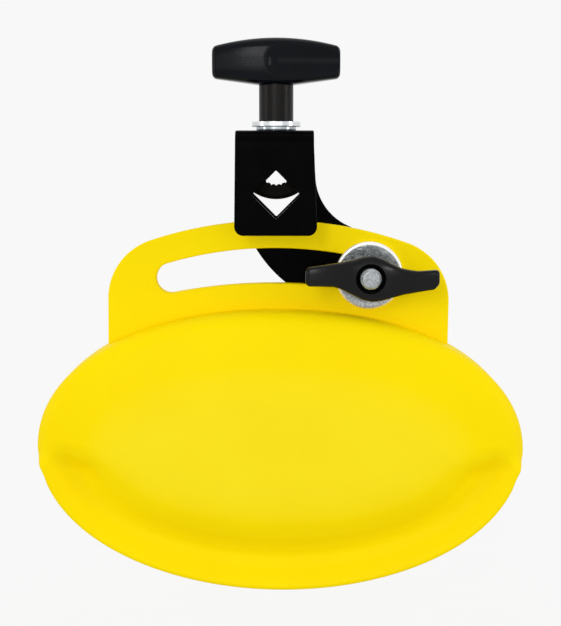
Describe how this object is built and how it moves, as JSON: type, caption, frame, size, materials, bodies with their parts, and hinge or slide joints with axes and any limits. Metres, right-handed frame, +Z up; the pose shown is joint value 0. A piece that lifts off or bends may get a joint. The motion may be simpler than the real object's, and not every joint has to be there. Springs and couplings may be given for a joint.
{
  "type": "woodblock",
  "caption": "Hollow oval block with a flared open mouth along its lower edge and a slotted handle plate, held by a wing nut on the arm of a rod clamp with a tee handle.",
  "frame": {"origin": "centre of the rod bore in the eye bolt, with the eye drawn fully up", "axes": "+Z up along the eye bolt's shank to the tee handle, -Y along the rod bore towards the front of the block, +X to the right as the front is seen"},
  "size_m": [0.187, 0.0442, 0.2098],
  "materials": {
    "shell_plastic": "satin moulded plastic",
    "black_steel": "satin black powder coat",
    "dark_steel": "blackened steel",
    "zinc_steel": "bright zinc plate",
    "black_plastic": "satin moulded plastic",
    "sleeve_plastic": "plain moulded plastic"
  },
  "bodies": {
    "clamp": {"clamp_bracket": "black_steel", "carriage_bolt": "zinc_steel", "split_washer": "zinc_steel", "top_washer": "zinc_steel"},
    "eye": {"eye_bolt": "dark_steel"},
    "tee_handle": {"handle_hub": "dark_steel", "handle_grip": "black_plastic"},
    "sleeve": {"slot_sleeve": "sleeve_plastic"},
    "block": {"front_shell": "shell_plastic", "back_shell": "shell_plastic"},
    "wide_washer": {"wing_washer": "zinc_steel"},
    "nut": {"wing_nut": "black_plastic"}
  },
  "joints": [
    {"name": "handle_turn", "type": "hinge", "parent": "clamp", "child": "tee_handle", "pos_m": [0, 0, 0.0171], "axis": [0, 0, 1], "range_deg": [0, 2880]},
    {"name": "eye_slide", "type": "slide", "parent": "clamp", "child": "eye", "axis": [0, 0, -1], "range_m": [0, 0.0101]},
    {"name": "block_pivot", "type": "hinge", "parent": "clamp", "child": "sleeve", "pos_m": [0.0357, 0, -0.04175], "axis": [0, 1, 0], "range_deg": [-68, 6]},
    {"name": "slot_travel", "type": "hinge", "parent": "sleeve", "child": "block", "pos_m": [-0.00082, 0, -0.20564], "axis": [0, 1, 0], "range_deg": [-2.3, 26.2]},
    {"name": "washer_slide", "type": "slide", "parent": "clamp", "child": "wide_washer", "axis": [0, -1, 0], "range_m": [0, 0.00251]},
    {"name": "wing_nut_spin", "type": "hinge", "parent": "wide_washer", "child": "nut", "pos_m": [0.0357, 0, -0.04175], "axis": [0, -1, 0], "range_deg": [0, 720]}
  ],
  "couplings": [
    {"joint": "eye_slide", "follows": "handle_turn", "m_per_rad": 0.00019894},
    {"joint": "washer_slide", "follows": "wing_nut_spin", "m_per_rad": 0.00019894}
  ]
}
